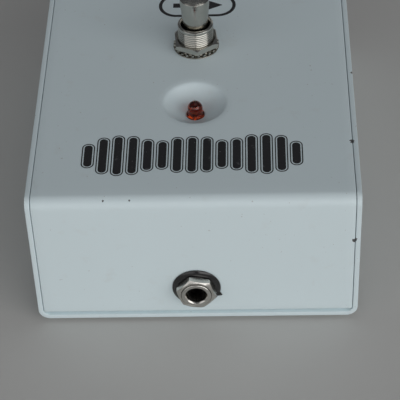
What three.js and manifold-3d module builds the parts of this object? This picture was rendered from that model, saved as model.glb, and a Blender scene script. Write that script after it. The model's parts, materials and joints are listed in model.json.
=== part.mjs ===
// A single-button latching footswitch in a folded steel case, with an indicator lamp in a pressed dish and
// one quarter-inch socket. Millimetres, +Z up. The origin is under the centre of the whole object, on the
// plane that its pads stand on; the socket's panel faces -Y.
import * as THREE from 'three';
import { mergeVertices } from 'three/addons/utils/BufferGeometryUtils.js';
import Module from 'manifold-3d';

// Case
const caseWidth = 104; // X, over the side walls
const caseDepth = 140; // Y, over the two end panels
const caseHeight = 52; // Z, underside of the base to the top of the cover
const sheet = 1.6; // steel thickness
const seam = 0.2; // gap between cover and base
const topBend = 3.6; // outside radius, cover, top edges
const footBend = 2.2; // outside radius, cover, where the end panels turn under
const baseBend = 3.75; // outside radius, base, lower edges
const flangeReach = 14; // how far the cover's flanges run in over the base
const seat = 0.1; // between two faces that rest on each other
const slack = 0.3; // round a piece that passes through a hole

// Pads under the base
const padThickness = 1.2;
const padRadius = 6;
const padEdge = 0.3;
const padInsetX = 12;
const padInsetY = 24;

// Screws and clinch nuts that hold the cover's flanges to the base
const screwRadius = 1.5;
const screwLength = 7;
const screwHeadRadius = 2.8;
const screwTip = 0.4; // chamfer at the screw's end
const recessWidth = 0.8;
const recessLength = 3;
const recessDepth = 0.9;
const screwInsetX = 16; // from the outside of the side wall
const screwInsetY = 8.5; // from the outside of the end panel
const nutBodyRadius = 3.1;
const nutBodyHeight = 2.4;

// Dish and lamp
const lampFromPanel = 47.1; // socket panel to lamp axis
const dishRadius = 10.1;
const dishDepth = 5.4;
const lampRadius = 2.45;
const lampFlange = 0.45; // how far the flange stands out round the lamp
const lampFlangeHeight = 1.8;
const lampSink = 1; // deepest point of the dish to the foot of the lamp
const lampLength = 6.4;
const lampHoleRoom = 0.15; // round the flange
const leadPitch = 2.54;
const leadSide = 0.5;
const leadRoom = 0.2; // round a lead in its hole
const leadTrim = 1.3; // how far leads and wires come out under the board
const spacerRadius = 5;
const spigotRoom = 0.3; // round the spacer's spigot, in the dish's hole
const spacerBelow = 6.6; // foot of the lamp to the board
const boardMargin = 3.2; // board beyond the resistor's wires
const boardDepth = 14;
const boardThickness = 1.6;
const resistorRadius = 1.15;
const resistorLength = 6.3;
const resistorWire = 0.3;
const resistorPitch = 10;
const resistorRoom = 0.65; // spacer to resistor

// Switch
const switchFromPanel = 76.9; // socket panel to switch axis
const bushProud = 9.9;
const bushWall = 1.15;
const bushSpare = 2.3; // thread left below the lower nut
const bushFloor = 3; // top of the cover to the spring's seat in the bore
const bushChamfer = 0.5;
const spigotWall = 1.1;
const spigotFlare = 0.5; // how far the spigot comes through the metal case
const nutWall = 1.05; // bush to the flats of the nut
const upperNutHeight = 2;
const upperNutTurn = 0.087; // how far round the tightened nut stands, in radians
const lowerNutHeight = 2;
const flatWasherRim = 1.8; // bush to the washer's edge
const flatWasherThickness = 0.4;
const lockWasherRim = 1.7;
const lockWasherThickness = 1.1;
const lockTeeth = 24;
const lockToothDepth = 0.85;
const switchBox = 18; // side of the switch's metal case
const switchBoxSheet = 0.8;
const blockHeight = 4;
const blockStep = 1.2; // how far the block goes up into the metal case
const lugWidth = 2.2;
const lugThickness = 0.6;
const lugBelow = 5.5;
const lugProud = 0.3;
const lugPitchX = 9;
const lugPitchY = 5;
const lugHoleRadius = 0.6;
const lugHoleUp = 1.6; // from the lug's lower end

// Button, with its spring and the rocker it works
const buttonTop = 20.7; // above the cover
const buttonTopRadius = 4.95;
const buttonNeckRadius = 4.1;
const neckGap = 0.7; // round the neck in the bush
const buttonChamfer = 0.55;
const buttonShoulder = 6; // above the cover, where the spring bears
const stemRadius = 2.3;
const stemReach = 2.6; // into the metal case, at rest
const stemNose = 1.2;
const buttonTravel = 3;
const springWire = 0.35; // radius of the wire
const springTurns = 6;
const rockerArm = 5; // axle to the button's axis
const rockerHalf = 1; // half the arm's thickness
const rockerWidth = 4;
const rockerOver = 1.6; // past the button's axis
const hubRadius = 1.9;
const hubWidth = 9;
const axleRadius = 0.8;
const axleSlack = 0.12;
const bridgeLength = 12;
const bridgeWidth = 2;
const bridgeThickness = 0.4;

// Socket
const socketRoom = 1.16; // cover's flange to the lowest part of the socket
const socketBore = 3.25;
const socketBushWall = 1.5;
const socketWasherRim = 3.05; // bush to the washer's edge
const socketWasherThickness = 0.9;
const socketNutWall = 0.95; // bush to the flats of the nut
const socketNutTurn = -0.314; // how far round the tightened nut stands, in radians
const socketNutHeight = 2.7;
const socketLip = 0.3; // bush beyond the nut
const socketBushBelow = 5;
const socketBushChamfer = 0.4;
const washerTab = 1.2; // how far the washer's locating tab stands out
const washerTabAngle = -0.4; // radians from the horizontal
const washerTabHalf = 0.14; // half the tab's width, in radians
const socketBox = 18;
const socketBoxLength = 30;
const socketPocketWidth = 5;
const socketPocketFrom = 14; // front of the moulding to the leaf's pocket
const leafThickness = 0.4;
const leafWidth = 3.6;
const leafDip = 1.1; // how far the leaf's bend enters the bore
const leafLift = 1.4; // bore to the leaf's straight part
const tagLength = 4.5;

// Wires inside
const wireRadius = 0.65;

// How many sides a round surface is cut into
const wideSides = 36; // the dish and other wide rounds
const roundSides = 28;
const smallSides = 14; // screws, wires' holes and other small rounds
const wireSides = 6;
const springSteps = 12; // along each turn of the spring

// Places worked out from the sizes above
const socketProud = seat + socketWasherThickness + seat + socketNutHeight + socketLip;
const panelY = (socketProud - caseDepth) / 2; // outside face of the socket panel
const farY = panelY + caseDepth;
const baseZ = padThickness + seat;
const floorZ = baseZ + sheet; // inside face of the base
const topZ = baseZ + caseHeight; // top of the cover
const coverWidth = caseWidth - 2 * (sheet + seam);
const coverFoot = floorZ + seam;
const lampY = panelY + lampFromPanel;
const switchY = panelY + switchFromPanel;
const socketZ = coverFoot + sheet + socketRoom + leafThickness + seat + socketBox / 2;
const lampFlangeRadius = lampRadius + lampFlange;
const lampHoleRadius = lampFlangeRadius + lampHoleRoom;
const bushBore = buttonNeckRadius + neckGap;
const bushRadius = bushBore + bushWall;
const bushBelow = sheet + seat + lowerNutHeight + bushSpare; // top of the cover to the end of the thread
const socketBushRadius = socketBore + socketBushWall;
const socketWasherRadius = socketBushRadius + socketWasherRim;

const wasm = await Module();
wasm.setup();

const model = new THREE.Group();
const whitePaint = { color: 0xb4bac0, roughness: 0.5, metalness: 0.1 };
const zincSteel = { color: 0xb9b8b4, roughness: 0.35, metalness: 1 };
const nickel = { color: 0xc3bfb6, roughness: 0.22, metalness: 1 };
const brass = { color: 0xc9a24e, roughness: 0.35, metalness: 1 };
const blackPlastic = { color: 0x141416, roughness: 0.4, metalness: 0 };
const brownBoard = { color: 0x7a4a26, roughness: 0.6, metalness: 0 };
const greenBoard = { color: 0x2c5b34, roughness: 0.5, metalness: 0 };
const amberLens = { color: 0xd4571c, roughness: 0.15, metalness: 0 };
const greyRubber = { color: 0x2b2b2d, roughness: 0.9, metalness: 0 };
const whitePlastic = { color: 0xe3e0d6, roughness: 0.5, metalness: 0 };
const beigeCoat = { color: 0xcbb489, roughness: 0.5, metalness: 0 };
const springSteel = { color: 0x9c9a96, roughness: 0.3, metalness: 1 };

// Solids

// A closed geometry as a solid: shared vertices are merged and triangles without area are left out.
function solidOf(geometry) {
  const bare = geometry.clone();
  bare.deleteAttribute('normal');
  bare.deleteAttribute('uv');
  const merged = mergeVertices(bare, 1e-4);
  const corner = merged.index.array;
  const kept = [];
  for (let i = 0; i < corner.length; i += 3) {
    const [a, b, c] = [corner[i], corner[i + 1], corner[i + 2]];
    if (a !== b && b !== c && c !== a) kept.push(a, b, c);
  }
  const vertProperties = new Float32Array(merged.attributes.position.array);
  const triVerts = new Uint32Array(kept);
  return new wasm.Manifold(new wasm.Mesh({ numProp: 3, vertProperties, triVerts }));
}

function geometryOf(solid) {
  const mesh = solid.getMesh();
  const geometry = new THREE.BufferGeometry();
  geometry.setAttribute('position', new THREE.BufferAttribute(new Float32Array(mesh.vertProperties), 3));
  geometry.setIndex(new THREE.BufferAttribute(new Uint32Array(mesh.triVerts), 1));
  geometry.computeVertexNormals();
  return geometry;
}

function addPiece(name, solid, finish, place = [0, 0, 0]) {
  const mesh = new THREE.Mesh(geometryOf(solid), new THREE.MeshStandardMaterial(finish));
  mesh.name = name;
  mesh.position.set(...place);
  model.add(mesh);
}

// Shapes

// Corners [x, y, radius] joined by straight lines, each corner rounded by an arc of its radius.
function roundedPath(corners, path) {
  corners.forEach(([x, y, radius = 0], i) => {
    const before = corners[(i + corners.length - 1) % corners.length];
    const after = corners[(i + 1) % corners.length];
    const here = new THREE.Vector2(x, y);
    const arriving = here.clone().sub(new THREE.Vector2(before[0], before[1])).normalize();
    const leaving = new THREE.Vector2(after[0], after[1]).sub(here).normalize();
    const turn = Math.atan2(arriving.cross(leaving), arriving.dot(leaving));
    const side = Math.sign(turn);
    const run = radius * Math.tan(Math.abs(turn) / 2);
    const first = here.clone().addScaledVector(arriving, -run);
    if (i === 0) path.moveTo(first.x, first.y);
    else path.lineTo(first.x, first.y);
    if (radius > 0 && side !== 0) {
      const cx = first.x - side * radius * arriving.y;
      const cy = first.y + side * radius * arriving.x;
      const from = Math.atan2(first.y - cy, first.x - cx);
      path.absarc(cx, cy, radius, from, from + turn, side < 0);
    }
  });
  path.closePath();
  return path;
}

const roundedShape = (corners) => roundedPath(corners, new THREE.Shape());

// A folded sheet's section. The corners are those of one face, with the metal on the right of travel, or on
// the left if the thickness is negative. The other face is the same line moved over by the thickness, and
// both faces of a bend have one centre.
function foldedSection(corners, thickness) {
  const points = corners.map(([x, y]) => new THREE.Vector2(x, y));
  const other = corners.map(([x, y, radius = 0], i) => {
    const back = points[Math.max(i, 1)].clone().sub(points[Math.max(i, 1) - 1]).normalize();
    const ahead = points[Math.min(i + 1, points.length - 1)].clone();
    const leaving = i + 1 < points.length ? ahead.sub(points[i]).normalize() : back;
    const normal = new THREE.Vector2(back.y + leaving.y, -back.x - leaving.x);
    const reach = thickness / (1 + back.dot(leaving));
    const otherRadius = radius + thickness * Math.sign(back.cross(leaving));
    return [x + normal.x * reach, y + normal.y * reach, Math.max(otherRadius, 0)];
  });
  return roundedShape([...corners, ...other.reverse()]);
}

function rectangle(width, height, radius = 0) {
  const [w, h] = [width / 2, height / 2];
  return roundedShape([[-w, -h, radius], [w, -h, radius], [w, h, radius], [-w, h, radius]]);
}

// Directions that a flat shape's x, y and thickness take in the object.
const flat = [[1, 0, 0], [0, 1, 0], [0, 0, 1]];
const acrossX = [[0, 1, 0], [0, 0, 1], [1, 0, 0]];
const alongY = [[-1, 0, 0], [0, 0, 1], [0, 1, 0]];

function turned(geometry, directions) {
  const [x, y, z] = directions.map((d) => new THREE.Vector3(...d));
  return geometry.applyMatrix4(new THREE.Matrix4().makeBasis(x, y, z));
}

function extruded(shape, length, directions = flat, curveSegments = 8) {
  const options = { depth: length, bevelEnabled: false, curveSegments };
  return turned(new THREE.ExtrudeGeometry(shape, options), directions);
}

const plate = (shape, length, directions, segments) => solidOf(extruded(shape, length, directions, segments));

function block(width, depth, height, centre) {
  const box = new THREE.BoxGeometry(width, depth, height);
  return solidOf(box.translate(...centre));
}

// A profile of [radius, height] points turned about +Z, or about the direction given.
function lathed(profile, segments = roundSides, directions = null) {
  const points = profile.map(([radius, height]) => new THREE.Vector2(radius, height));
  const geometry = new THREE.LatheGeometry(points, segments);
  geometry.rotateX(Math.PI / 2);
  if (directions) turned(geometry, directions);
  return solidOf(geometry);
}

function rod(radius, low, high, segments = roundSides, directions = null) {
  return lathed([[0, low], [radius, low], [radius, high], [0, high]], segments, directions);
}

// A ring of rectangular section with its edges chamfered.
function ring(inner, outer, low, high, chamfer = 0, segments = roundSides, directions = null) {
  const c = chamfer;
  const profile = c > 0
    ? [[inner + c, low], [outer - c, low], [outer, low + c], [outer, high - c], [outer - c, high],
      [inner + c, high], [inner, high - c], [inner, low + c], [inner + c, low]]
    : [[inner, low], [outer, low], [outer, high], [inner, high], [inner, low]];
  return lathed(profile, segments, directions);
}

// A hexagon nut from height 0 up, its six corners cut back by a cone at both faces.
function hexNut(across, bore, height, directions = flat) {
  const cornerRadius = across / Math.sqrt(3);
  const corners = Array.from({ length: 6 }, (_, i) => {
    const angle = Math.PI / 6 + (i * Math.PI) / 3;
    return [cornerRadius * Math.cos(angle), cornerRadius * Math.sin(angle)];
  });
  const drop = (cornerRadius - across / 2) * Math.tan(Math.PI / 6);
  const round = across / 2;
  const cone = [[0, 0], [round, 0], [cornerRadius, drop],
    [cornerRadius, height - drop], [round, height], [0, height]];
  const lathe = directions === flat ? null : directions;
  return plate(roundedShape(corners), height, directions, 1)
    .intersect(lathed(cone, wideSides, lathe))
    .subtract(rod(bore, -1, height + 1, roundSides, lathe));
}

// A round tube along a curve.
function tube(points, radius, steps, sides = wireSides) {
  const path = new THREE.CatmullRomCurve3(points.map((p) => new THREE.Vector3(...p)), false, 'centripetal');
  return tubeOn(path, radius, steps, sides);
}

function tubeOn(path, radius, steps, sides) {
  const section = new THREE.Shape();
  for (let i = 0; i < sides; i += 1) {
    const angle = (i * 2 * Math.PI) / sides;
    const point = [radius * Math.cos(angle), radius * Math.sin(angle)];
    if (i === 0) section.moveTo(...point);
    else section.lineTo(...point);
  }
  section.closePath();
  return solidOf(new THREE.ExtrudeGeometry(section, { steps, bevelEnabled: false, extrudePath: path }));
}

// Case

const screwPlaces = [];
for (const sideX of [-1, 1]) {
  for (const [endY, inward] of [[panelY, 1], [farY, -1]]) {
    screwPlaces.push([sideX * (caseWidth / 2 - screwInsetX), endY + inward * screwInsetY]);
  }
}

// The dish is part of a sphere; its wall is the shell between two spheres with one centre.
const dishSphere = (dishRadius ** 2 + dishDepth ** 2) / (2 * dishDepth);
const dishCentreZ = dishSphere - dishDepth;

function dishArc(radius, rimZ, steps = 7) {
  const end = Math.acos((dishCentreZ - rimZ) / radius);
  return Array.from({ length: steps + 1 }, (_, i) => {
    const angle = (end * i) / steps;
    return [radius * Math.sin(angle), dishCentreZ - radius * Math.cos(angle)];
  });
}

function makeCover() {
  const section = foldedSection([
    [panelY + flangeReach, coverFoot],
    [panelY, coverFoot, footBend],
    [panelY, topZ, topBend],
    [farY, topZ, topBend],
    [farY, coverFoot, footBend],
    [farY - flangeReach, coverFoot],
  ], sheet);
  // Its lower corners are rounded to lie inside the base's bends.
  const half = coverWidth / 2;
  const corner = baseBend - sheet - seam;
  const room = roundedShape([[-half, topZ + 1], [-half, coverFoot, corner],
    [half, coverFoot, corner], [half, topZ + 1]]);
  let cover = plate(section, coverWidth, acrossX)
    .translate([-half, 0, 0])
    .intersect(plate(room, caseDepth + 2, alongY).translate([0, panelY - 1, 0]));
  const under = dishArc(dishSphere + sheet, -sheet);
  const rim = under[under.length - 1][0];
  const bowl = lathed([...under, [rim, -sheet / 2], [0, -sheet / 2]], wideSides);
  const hollow = lathed([...dishArc(dishSphere, 0), [dishRadius, sheet], [0, sheet]], wideSides);
  const socketHole = rod(socketBushRadius + slack, -sheet, 2 * sheet, roundSides, alongY);
  const screwHole = rod(screwRadius + slack, -sheet, 2 * sheet, smallSides);
  cover = cover
    .add(bowl.translate([0, lampY, topZ]))
    .subtract(hollow.translate([0, lampY, topZ]))
    .subtract(rod(lampHoleRadius, -dishDepth - 2 * sheet, 0).translate([0, lampY, topZ]))
    .subtract(rod(bushRadius + slack, -2 * sheet, sheet).translate([0, switchY, topZ]))
    .subtract(socketHole.translate([0, panelY, socketZ]));
  for (const [x, y] of screwPlaces) {
    cover = cover.subtract(screwHole.translate([x, y, coverFoot]));
  }
  return cover;
}

function makeBase() {
  const half = caseWidth / 2;
  const corners = [[-half, topZ], [-half, baseZ, baseBend], [half, baseZ, baseBend], [half, topZ]];
  // The side walls' upper corners are rounded like the cover's bends, which they lie beside.
  const wall = roundedShape([[panelY, baseZ], [farY, baseZ], [farY, topZ, topBend], [panelY, topZ, topBend]]);
  let base = plate(foldedSection(corners, -sheet), caseDepth, alongY)
    .translate([0, panelY, 0])
    .intersect(plate(wall, caseWidth + 2, acrossX).translate([-half - 1, 0, 0]));
  const wide = screwHeadRadius + slack;
  const narrow = screwRadius + slack;
  const sink = [[0, -1], [wide, -1], [wide, 0], [narrow, wide - narrow], [narrow, 2 * sheet], [0, 2 * sheet]];
  for (const [x, y] of screwPlaces) {
    base = base.subtract(lathed(sink, smallSides).translate([x, y, baseZ]));
  }
  return base;
}

// A countersunk screw, head down, with a cross recess.
function makeScrew() {
  const cone = screwHeadRadius - screwRadius;
  const body = lathed([[0, 0], [screwHeadRadius, 0], [screwRadius, cone],
    [screwRadius, screwLength - screwTip], [screwRadius - screwTip, screwLength], [0, screwLength]], smallSides);
  const slotA = block(recessLength, recessWidth, 2 * recessDepth, [0, 0, 0]);
  const slotB = block(recessWidth, recessLength, 2 * recessDepth, [0, 0, 0]);
  return body.subtract(slotA).subtract(slotB);
}

addPiece('top_cover', makeCover(), whitePaint);
addPiece('base_tray', makeBase(), whitePaint);

const screw = makeScrew();
const clinchNut = ring(screwRadius + axleSlack, nutBodyRadius, 0, nutBodyHeight, 0, smallSides);
screwPlaces.forEach(([x, y], i) => {
  addPiece(`cover_screw_${i + 1}`, screw, zincSteel, [x, y, baseZ + seat]);
  addPiece(`clinch_nut_${i + 1}`, clinchNut, zincSteel, [x, y, coverFoot + sheet + seat]);
});

const pad = lathed([[0, 0], [padRadius - padEdge, 0], [padRadius, padEdge],
  [padRadius, padThickness], [0, padThickness]]);
let padNumber = 0;
for (const sideX of [-1, 1]) {
  for (const y of [panelY + padInsetY, farY - padInsetY]) {
    padNumber += 1;
    addPiece(`foot_pad_${padNumber}`, pad, greyRubber, [sideX * (caseWidth / 2 - padInsetX), y, 0]);
  }
}

// Switch

const switchPlace = [0, switchY, topZ];
const boxTop = -(bushBelow + seat);
const stemEnd = -boxTop + switchBoxSheet + stemReach; // below the top of the cover
const axleZ = -(stemEnd + buttonTravel / 2) - slack - rockerHalf;
const rockerTilt = Math.atan(buttonTravel / 2 / rockerArm); // at rest, and as far the other way when pressed
const bridgeDepth = rockerHalf + seat + bridgeThickness;
const bridgeReach = rockerArm + bridgeWidth / 2;
const bridgeLow = axleZ - bridgeReach * Math.sin(rockerTilt) - bridgeDepth * Math.cos(rockerTilt);
const blockTop = bridgeLow - slack - lugProud;
const blockFoot = blockTop - blockHeight;
const boxFoot = blockTop - blockStep;
const spigotRadius = stemRadius + slack + spigotWall;
const spigotLength = seat + switchBoxSheet + spigotFlare;
const nutAcross = 2 * (bushRadius + nutWall);
const lockWasherRadius = bushRadius + lockWasherRim;
const springMean = (stemRadius + bushBore) / 2; // radius of the coil

function makeSwitchBush() {
  const c = bushChamfer;
  const profile = [
    [stemRadius + slack, -bushBelow - spigotLength], [spigotRadius, -bushBelow - spigotLength],
    [spigotRadius, -bushBelow], [bushRadius, -bushBelow], [bushRadius, bushProud - c],
    [bushRadius - c, bushProud], [bushBore + c, bushProud], [bushBore, bushProud - c],
    [bushBore, -bushFloor], [stemRadius + slack, -bushFloor], [stemRadius + slack, -bushBelow - spigotLength],
  ];
  return lathed(profile);
}

// The lock washer's outline steps in and out once for each tooth.
function makeLockWasher() {
  const outline = new THREE.Shape();
  const steps = lockTeeth * 4;
  for (let i = 0; i < steps; i += 1) {
    const radius = i % 4 < 2 ? lockWasherRadius : lockWasherRadius - lockToothDepth;
    const angle = (i * 2 * Math.PI) / steps;
    const point = [radius * Math.cos(angle), radius * Math.sin(angle)];
    if (i === 0) outline.moveTo(...point);
    else outline.lineTo(...point);
  }
  outline.closePath();
  const bore = rod(bushRadius + slack, -1, lockWasherThickness + 1);
  return plate(outline, lockWasherThickness, flat, 1).subtract(bore);
}

function makeSwitchCase() {
  const inner = switchBox - 2 * switchBoxSheet;
  const middle = (boxTop + boxFoot) / 2;
  const hollowMiddle = middle - switchBoxSheet;
  const axleHole = rod(axleRadius + axleSlack, -switchBox, switchBox, smallSides, acrossX);
  return block(switchBox, switchBox, boxTop - boxFoot, [0, 0, middle])
    .subtract(block(inner, inner, boxTop - boxFoot, [0, 0, hollowMiddle]))
    .subtract(rod(spigotRadius + slack, boxTop - 2, boxTop + 1))
    .subtract(axleHole.translate([0, rockerArm, axleZ]));
}

const lugPlaces = [];
for (const column of [-1, 1]) {
  for (const row of [-1, 0, 1]) {
    lugPlaces.push([(column * lugPitchX) / 2, row * lugPitchY]);
  }
}

function makeTerminalBlock() {
  const plug = switchBox - 2 * (switchBoxSheet + slack);
  const flangeTop = boxFoot - seat;
  let body = block(switchBox, switchBox, flangeTop - blockFoot, [0, 0, (flangeTop + blockFoot) / 2])
    .add(block(plug, plug, blockTop - blockFoot, [0, 0, (blockTop + blockFoot) / 2]));
  for (const [x, y] of lugPlaces) {
    body = body.subtract(block(lugThickness + slack, lugWidth + slack, 3 * blockHeight, [x, y, blockTop]));
  }
  return body;
}

function makeLug() {
  const top = blockTop + lugProud;
  const foot = blockFoot - lugBelow;
  const eye = rod(lugHoleRadius, -1, 1, smallSides, acrossX).translate([0, 0, foot + lugHoleUp]);
  const blade = rectangle(lugWidth, top - foot, 0.3);
  return plate(blade, lugThickness, acrossX, 2)
    .translate([-lugThickness / 2, 0, (top + foot) / 2])
    .subtract(eye);
}

// The button: a flat-topped cap that narrows towards the bush, a shoulder for the spring, and a stem with a
// round nose that pushes on the rocker.
function makeButton() {
  const nose = Array.from({ length: 5 }, (_, i) => {
    const angle = (i * Math.PI) / 8;
    return [stemNose * Math.sin(angle), -stemEnd + stemNose - stemNose * Math.cos(angle)];
  });
  const profile = [
    ...nose,
    [stemRadius, -stemEnd + stemNose + 1],
    [stemRadius, buttonShoulder],
    [buttonNeckRadius - 0.3, buttonShoulder],
    [buttonNeckRadius, buttonShoulder + 0.3],
    [buttonNeckRadius, bushProud],
    [buttonTopRadius, buttonTop - buttonChamfer],
    [buttonTopRadius - buttonChamfer, buttonTop],
    [0, buttonTop],
  ];
  return lathed(profile);
}

// The button's return spring: a helix whose two end turns close up.
class SpringCurve extends THREE.Curve {
  getPoint(t, target = new THREE.Vector3()) {
    const low = -bushFloor + seat + springWire;
    const high = buttonShoulder - seat - springWire;
    const angle = t * springTurns * 2 * Math.PI;
    const closed = 1 / springTurns;
    const rise = THREE.MathUtils.clamp((t - closed) / (1 - 2 * closed), 0, 1);
    const lead = 2.2 * springWire;
    const creep = lead * (Math.min(t, closed) + Math.max(t - 1 + closed, 0)) / closed;
    const z = low + creep + rise * (high - low - 2 * lead);
    return target.set(springMean * Math.cos(angle), springMean * Math.sin(angle), z);
  }
}

// The rocker, drawn level: an arm with a round end, and a hub round its axle.
function makeRocker() {
  const profile = roundedShape([
    [-rockerArm - rockerOver, -rockerHalf, rockerHalf * 0.9],
    [0, -rockerHalf],
    [0, rockerHalf],
    [-rockerArm - rockerOver, rockerHalf, rockerHalf * 0.9],
  ]);
  return plate(profile, rockerWidth, acrossX, 4)
    .translate([-rockerWidth / 2, 0, 0])
    .add(rod(hubRadius, -hubWidth / 2, hubWidth / 2, roundSides, acrossX))
    .subtract(rod(axleRadius + axleSlack, -hubWidth, hubWidth, smallSides, acrossX));
}

function tilted(solid) {
  const degrees = THREE.MathUtils.radToDeg(rockerTilt);
  return solid.rotate([-degrees, 0, 0]).translate([0, rockerArm, axleZ]);
}

const boltUp = (height, lift) => [0, switchY, topZ + lift + height];
const lockSeat = seat + flatWasherThickness + seat;
const nutSeat = lockSeat + lockWasherThickness + seat;
const flatWasher = ring(bushRadius + slack, bushRadius + flatWasherRim, 0, flatWasherThickness);
addPiece('switch_flat_washer', flatWasher, nickel, boltUp(0, seat));
addPiece('switch_lock_washer', makeLockWasher(), nickel, boltUp(0, lockSeat));
const upperNut = hexNut(nutAcross, bushRadius + axleSlack, upperNutHeight)
  .rotate([0, 0, THREE.MathUtils.radToDeg(upperNutTurn)]);
addPiece('switch_nut', upperNut, nickel, boltUp(0, nutSeat));
addPiece('switch_lower_nut', hexNut(nutAcross, bushRadius + axleSlack, lowerNutHeight), nickel,
  boltUp(-lowerNutHeight, -sheet - seat));
addPiece('switch_bush', makeSwitchBush(), nickel, switchPlace);
addPiece('switch_case', makeSwitchCase(), zincSteel, switchPlace);
addPiece('switch_terminal_block', makeTerminalBlock(), brownBoard, switchPlace);
lugPlaces.forEach(([x, y], i) => {
  addPiece(`switch_lug_${i + 1}`, makeLug(), brass, [x, switchY + y, topZ]);
});
addPiece('button', makeButton(), nickel, switchPlace);
const spring = tubeOn(new SpringCurve(), springWire, springTurns * springSteps, wireSides);
addPiece('button_spring', spring, springSteel, switchPlace);
addPiece('rocker', tilted(makeRocker()), whitePlastic, switchPlace);
const bridge = block(bridgeLength, bridgeWidth, bridgeThickness,
  [0, -rockerArm, -rockerHalf - seat - bridgeThickness / 2]);
addPiece('rocker_bridge', tilted(bridge), brass, switchPlace);
addPiece('rocker_axle', rod(axleRadius, -switchBox / 2, switchBox / 2, smallSides, acrossX), zincSteel,
  [0, switchY + rockerArm, topZ + axleZ]);

// Lamp

const lampPlace = [0, lampY, topZ];
const lampFoot = -(dishDepth + lampSink);
const boardTop = lampFoot - spacerBelow;
const boardFoot = boardTop - boardThickness;
const resistorX = spacerRadius + resistorRoom + resistorRadius;
const leadHoleRadius = leadSide / Math.SQRT2 + leadRoom;

function makeLamp() {
  const domeZ = lampFoot + lampLength - lampRadius;
  const dome = Array.from({ length: 8 }, (_, i) => {
    const angle = (i * Math.PI) / 14;
    return [lampRadius * Math.cos(angle), domeZ + lampRadius * Math.sin(angle)];
  });
  dome[7][0] = 0;
  return lathed([[0, lampFoot], [lampFlangeRadius, lampFoot], [lampFlangeRadius, lampFoot + lampFlangeHeight],
    [lampRadius, lampFoot + lampFlangeHeight], ...dome]);
}

function makeBoard() {
  const outline = rectangle(2 * (resistorX + boardMargin), boardDepth, 1);
  let board = plate(outline, boardThickness, flat, 4).translate([0, 0, boardFoot]);
  const leadHoles = [[-leadPitch / 2, 0], [leadPitch / 2, 0]];
  const resistorHoles = [[resistorX, -resistorPitch / 2], [resistorX, resistorPitch / 2]];
  const hole = rod(leadHoleRadius, boardFoot - 1, boardTop + 1, smallSides);
  for (const [x, y] of [...leadHoles, ...resistorHoles]) {
    board = board.subtract(hole.translate([x, y, 0]));
  }
  return board;
}

// The spacer stands on the board, and its spigot goes up into the dish's hole to carry the lamp.
function makeSpacer() {
  const holeUnder = dishCentreZ - Math.sqrt((dishSphere + sheet) ** 2 - lampHoleRadius ** 2);
  const spigot = lampHoleRadius - spigotRoom;
  const [low, shoulder, high] = [boardTop + seat, holeUnder - seat, lampFoot - seat];
  let spacer = lathed([[0, low], [spacerRadius, low], [spacerRadius, shoulder],
    [spigot, shoulder], [spigot, high], [0, high]]);
  const hole = rod(leadHoleRadius, boardTop - 1, lampFoot + 1, smallSides);
  for (const side of [-1, 1]) {
    spacer = spacer.subtract(hole.translate([(side * leadPitch) / 2, 0, 0]));
  }
  return spacer;
}

// An axial resistor lying along Y above the board: a thick cap at each end of its body, and wires bent down
// through two holes.
function makeResistor() {
  const r = resistorRadius;
  const waist = 0.88 * r;
  const end = 0.8 * r;
  const capEnd = resistorLength / 2 - 0.5;
  const capStart = resistorLength / 2 - 1.4;
  const waistEnd = resistorLength / 2 - 1.8;
  const half = [[waist, waistEnd], [r, capStart], [r, capEnd],
    [end, resistorLength / 2], [0, resistorLength / 2]];
  const otherHalf = half.map(([radius, height]) => [radius, -height]).reverse();
  const body = lathed([...otherHalf, ...half], smallSides, alongY);
  const lift = boardTop + slack + r;
  const reach = resistorPitch / 2;
  const bend = 1;
  const leg = [[0, reach - bend, lift], [0, reach - 0.3 * bend, lift - 0.3 * bend], [0, reach, lift - bend],
    [0, reach, boardFoot - leadTrim]];
  const otherLeg = leg.map(([x, y, z]) => [x, -y, z]).reverse();
  const wire = tube([...otherLeg, ...leg], resistorWire, 24);
  return body.translate([0, 0, lift]).add(wire).translate([resistorX, 0, 0]);
}

addPiece('lamp', makeLamp(), amberLens, lampPlace);
addPiece('lamp_spacer', makeSpacer(), blackPlastic, lampPlace);
const leadTop = lampFoot - seat;
const leadFoot = boardFoot - leadTrim;
for (const [name, side] of [['lamp_lead_plus', -1], ['lamp_lead_minus', 1]]) {
  addPiece(name, block(leadSide, leadSide, leadTop - leadFoot, [0, 0, (leadTop + leadFoot) / 2]), zincSteel,
    [(side * leadPitch) / 2, lampY, topZ]);
}
addPiece('lamp_board', makeBoard(), greenBoard, lampPlace);
addPiece('lamp_resistor', makeResistor(), beigeCoat, lampPlace);

// Socket

const socketPlace = [0, panelY, socketZ];
const nutFace = seat + socketWasherThickness + seat + socketNutHeight; // out from the panel
const boxStart = sheet + seat;
const boxEnd = boxStart + socketBoxLength;
const pocketStart = boxStart + socketPocketFrom;
const leafRise = socketBore + leafLift;

// The washer has a small pointed tab on its rim.
function makeSocketWasher() {
  const [start, end] = [washerTabAngle + washerTabHalf, washerTabAngle - washerTabHalf + 2 * Math.PI];
  const outline = new THREE.Shape();
  outline.absarc(0, 0, socketWasherRadius, start, end, false);
  const tip = socketWasherRadius + washerTab;
  outline.lineTo(tip * Math.cos(washerTabAngle), tip * Math.sin(washerTabAngle));
  outline.closePath();
  return plate(outline, socketWasherThickness, [[1, 0, 0], [0, 0, 1], [0, -1, 0]], wideSides)
    .subtract(rod(socketBushRadius + slack, -2, 2, roundSides, alongY));
}

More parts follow.
